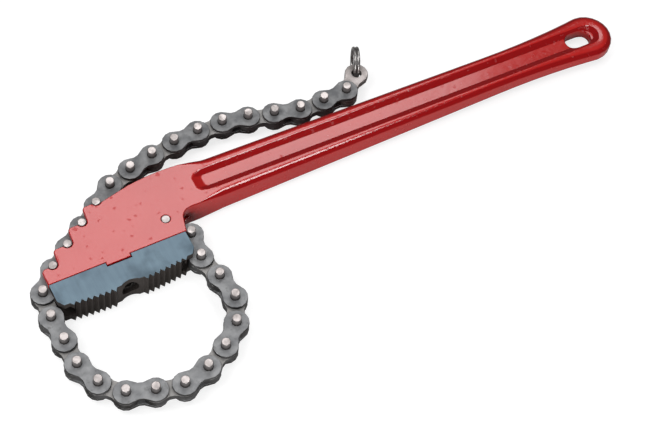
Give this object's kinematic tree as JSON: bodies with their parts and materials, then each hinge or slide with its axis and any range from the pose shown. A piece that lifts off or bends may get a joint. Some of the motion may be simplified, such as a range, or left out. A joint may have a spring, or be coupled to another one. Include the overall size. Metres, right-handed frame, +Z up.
{
  "type": "chain pipe wrench",
  "caption": "Chain pipe wrench: forged I-section handle and hook head, bolted toothed jaw, and a long-pin chain that wraps a pipe, drops into hook notches and ends in a split ring",
  "frame": {"origin": "axis of the chain's anchor pin, in the plane that the wrench lies on", "axes": "+X along the handle from the head to the hanging hole, -Y the way the jaw's teeth face, +Z up from the bench"},
  "size_m": [0.4004, 0.1703, 0.02],
  "materials": {
    "red_paint": "gloss enamel on a forging",
    "jaw_steel": "hardened steel, ground faces",
    "chain_steel": "grey phosphated",
    "bright_steel": "bright",
    "black_steel": "black oxide"
  },
  "bodies": {
    "wrench": {"handle": "red_paint", "jaw": "jaw_steel", "jaw_screw": "black_steel", "anchor_pin": "bright_steel"},
    "link_00": {"inner_link_00": "chain_steel"},
    "link_01": {"outer_link_01": "chain_steel", "link_pins_01": "bright_steel"},
    "link_02": {"inner_link_01": "chain_steel"},
    "link_03": {"outer_link_02": "chain_steel", "link_pins_02": "bright_steel"},
    "link_04": {"inner_link_02": "chain_steel"},
    "link_05": {"outer_link_03": "chain_steel", "link_pins_03": "bright_steel"},
    "link_06": {"inner_link_03": "chain_steel"},
    "link_07": {"outer_link_04": "chain_steel", "link_pins_04": "bright_steel"},
    "link_08": {"inner_link_04": "chain_steel"},
    "link_09": {"outer_link_05": "chain_steel", "link_pins_05": "bright_steel"},
    "link_10": {"inner_link_05": "chain_steel"},
    "link_11": {"outer_link_06": "chain_steel", "link_pins_06": "bright_steel"},
    "link_12": {"inner_link_06": "chain_steel"},
    "link_13": {"outer_link_07": "chain_steel", "link_pins_07": "bright_steel"},
    "link_14": {"inner_link_07": "chain_steel"},
    "link_15": {"outer_link_08": "chain_steel", "link_pins_08": "bright_steel"},
    "link_16": {"inner_link_08": "chain_steel"},
    "link_17": {"outer_link_09": "chain_steel", "link_pins_09": "bright_steel"},
    "link_18": {"inner_link_09": "chain_steel"},
    "link_19": {"outer_link_10": "chain_steel", "link_pins_10": "bright_steel"},
    "link_20": {"inner_link_10": "chain_steel"},
    "link_21": {"outer_link_11": "chain_steel", "link_pins_11": "bright_steel"},
    "link_22": {"inner_link_11": "chain_steel"},
    "link_23": {"outer_link_12": "chain_steel", "link_pins_12": "bright_steel"},
    "link_24": {"inner_link_12": "chain_steel"},
    "link_25": {"outer_link_13": "chain_steel", "link_pins_13": "bright_steel"},
    "link_26": {"inner_link_13": "chain_steel"},
    "link_27": {"outer_link_14": "chain_steel", "link_pins_14": "bright_steel"},
    "link_28": {"inner_link_14": "chain_steel"},
    "link_29": {"outer_link_15": "chain_steel", "link_pins_15": "bright_steel"},
    "link_30": {"end_link": "bright_steel"},
    "ring": {"split_ring": "bright_steel"}
  },
  "joints": [
    {"name": "anchor_swing", "type": "hinge", "parent": "wrench", "child": "link_00", "pos_m": [0, 0, 0.0087], "axis": [0, 0, 1], "range_deg": [0, 10.19]},
    {"name": "loop_joint_01", "type": "hinge", "parent": "link_00", "child": "link_01", "pos_m": [0.00999, -0.01234, 0.0087], "axis": [0, 0, 1], "range_deg": [-16.25, 0]},
    {"name": "loop_joint_02", "type": "hinge", "parent": "link_01", "child": "link_02", "pos_m": [0.00852, -0.02814, 0.0087], "axis": [0, 0, 1], "range_deg": [-9.47, 0]},
    {"name": "loop_joint_03", "type": "hinge", "parent": "link_02", "child": "link_03", "pos_m": [0.01248, -0.04352, 0.0087], "axis": [0, 0, 1], "range_deg": [-3.35, 0]},
    {"name": "loop_joint_04", "type": "hinge", "parent": "link_03", "child": "link_04", "pos_m": [0.01421, -0.0593, 0.0087], "axis": [0, 0, 1], "range_deg": [0, 9.89]},
    {"name": "loop_joint_05", "type": "hinge", "parent": "link_04", "child": "link_05", "pos_m": [0.00779, -0.07382, 0.0087], "axis": [0, 0, 1], "range_deg": [0, 5.24]},
    {"name": "loop_joint_06", "type": "hinge", "parent": "link_05", "child": "link_06", "pos_m": [-0.00399, -0.08446, 0.0087], "axis": [0, 0, 1], "range_deg": [0, 3.64]},
    {"name": "loop_joint_07", "type": "hinge", "parent": "link_06", "child": "link_07", "pos_m": [-0.01799, -0.09194, 0.0087], "axis": [0, 0, 1], "range_deg": [0, 3.02]},
    {"name": "loop_joint_08", "type": "hinge", "parent": "link_07", "child": "link_08", "pos_m": [-0.03345, -0.09554, 0.0087], "axis": [0, 0, 1], "range_deg": [0, 3.71]},
    {"name": "loop_joint_09", "type": "hinge", "parent": "link_08", "child": "link_09", "pos_m": [-0.04893, -0.09203, 0.0087], "axis": [0, 0, 1], "range_deg": [-3.47, 0]},
    {"name": "loop_joint_10", "type": "hinge", "parent": "link_09", "child": "link_10", "pos_m": [-0.06388, -0.08668, 0.0087], "axis": [0, 0, 1], "range_deg": [-3.23, 0]},
    {"name": "loop_joint_11", "type": "hinge", "parent": "link_10", "child": "link_11", "pos_m": [-0.07459, -0.07495, 0.0087], "axis": [0, 0, 1], "range_deg": [-9.83, 0]},
    {"name": "loop_joint_12", "type": "hinge", "parent": "link_11", "child": "link_12", "pos_m": [-0.08016, -0.06009, 0.0087], "axis": [0, 0, 1], "range_deg": [-13.37, 0]},
    {"name": "loop_joint_13", "type": "hinge", "parent": "link_12", "child": "link_13", "pos_m": [-0.08062, -0.04422, 0.0087], "axis": [0, 0, 1], "range_deg": [0, 11.27]},
    {"name": "loop_flex", "type": "hinge", "parent": "link_13", "child": "link_14", "pos_m": [-0.08139, -0.02836, 0.0087], "axis": [0, 0, 1], "range_deg": [0, 12]},
    {"name": "unhook", "type": "hinge", "parent": "link_14", "child": "link_15", "pos_m": [-0.07943, -0.01261, 0.0087], "axis": [0, 0, 1], "range_deg": [0, 100]},
    {"name": "seat_joint_16", "type": "hinge", "parent": "link_15", "child": "link_16", "pos_m": [-0.0686, -0.001, 0.0087], "axis": [0, 0, 1], "range_deg": [0, 45]},
    {"name": "seat_joint_17", "type": "hinge", "parent": "link_16", "child": "link_17", "pos_m": [-0.05584, 0.00844, 0.0087], "axis": [0, 0, -1], "range_deg": [-45, 0]},
    {"name": "seat_joint_18", "type": "hinge", "parent": "link_17", "child": "link_18", "pos_m": [-0.04308, 0.01789, 0.0087], "axis": [0, 0, 1], "range_deg": [0, 45]},
    {"name": "seat_joint_19", "type": "hinge", "parent": "link_18", "child": "link_19", "pos_m": [-0.03032, 0.02733, 0.0087], "axis": [0, 0, -1], "range_deg": [-45, 0]},
    {"name": "tail_joint_20", "type": "hinge", "parent": "link_19", "child": "link_20", "pos_m": [-0.01764, 0.03689, 0.0087], "axis": [0, 0, 1], "range_deg": [0, 36]},
    {"name": "tail_joint_21", "type": "hinge", "parent": "link_20", "child": "link_21", "pos_m": [-0.00263, 0.04206, 0.0087], "axis": [0, 0, -1], "range_deg": [-36, 0]},
    {"name": "tail_joint_22", "type": "hinge", "parent": "link_21", "child": "link_22", "pos_m": [0.01277, 0.0459, 0.0087], "axis": [0, 0, 1], "range_deg": [0, 36]},
    {"name": "tail_joint_23", "type": "hinge", "parent": "link_22", "child": "link_23", "pos_m": [0.02835, 0.04893, 0.0087], "axis": [0, 0, -1], "range_deg": [-36, 0]},
    {"name": "tail_joint_24", "type": "hinge", "parent": "link_23", "child": "link_24", "pos_m": [0.04417, 0.05032, 0.0087], "axis": [0, 0, 1], "range_deg": [0, 36]},
    {"name": "tail_joint_25", "type": "hinge", "parent": "link_24", "child": "link_25", "pos_m": [0.06004, 0.05005, 0.0087], "axis": [0, 0, -1], "range_deg": [-36, 0]},
    {"name": "tail_joint_26", "type": "hinge", "parent": "link_25", "child": "link_26", "pos_m": [0.07567, 0.04729, 0.0087], "axis": [0, 0, 1], "range_deg": [0, 36]},
    {"name": "tail_joint_27", "type": "hinge", "parent": "link_26", "child": "link_27", "pos_m": [0.09101, 0.04319, 0.0087], "axis": [0, 0, -1], "range_deg": [-36, 0]},
    {"name": "tail_joint_28", "type": "hinge", "parent": "link_27", "child": "link_28", "pos_m": [0.10641, 0.03935, 0.0087], "axis": [0, 0, 1], "range_deg": [0, 36]},
    {"name": "tail_joint_29", "type": "hinge", "parent": "link_28", "child": "link_29", "pos_m": [0.12229, 0.03935, 0.0087], "axis": [0, 0, -1], "range_deg": [-36, 8]},
    {"name": "tail_joint_30", "type": "hinge", "parent": "link_29", "child": "link_30", "pos_m": [0.13814, 0.04019, 0.0087], "axis": [0, 0, 1], "range_deg": [-36, 36]},
    {"name": "ring_swing", "type": "hinge", "parent": "link_30", "child": "ring", "pos_m": [0.15065, 0.04996, 0.0087], "axis": [0, 0, 1], "range_deg": [-120, 60]}
  ],
  "couplings": [
    {"joint": "anchor_swing", "follows": "loop_flex", "ratio": 0.849},
    {"joint": "loop_joint_01", "follows": "loop_flex", "ratio": -1.354},
    {"joint": "loop_joint_02", "follows": "loop_flex", "ratio": -0.789},
    {"joint": "loop_joint_03", "follows": "loop_flex", "ratio": -0.279},
    {"joint": "loop_joint_04", "follows": "loop_flex", "ratio": 0.824},
    {"joint": "loop_joint_05", "follows": "loop_flex", "ratio": 0.437},
    {"joint": "loop_joint_06", "follows": "loop_flex", "ratio": 0.303},
    {"joint": "loop_joint_07", "follows": "loop_flex", "ratio": 0.252},
    {"joint": "loop_joint_08", "follows": "loop_flex", "ratio": 0.309},
    {"joint": "loop_joint_09", "follows": "loop_flex", "ratio": -0.289},
    {"joint": "loop_joint_10", "follows": "loop_flex", "ratio": -0.269},
    {"joint": "loop_joint_11", "follows": "loop_flex", "ratio": -0.819},
    {"joint": "loop_joint_12", "follows": "loop_flex", "ratio": -1.114},
    {"joint": "loop_joint_13", "follows": "loop_flex", "ratio": 0.939}
  ]
}
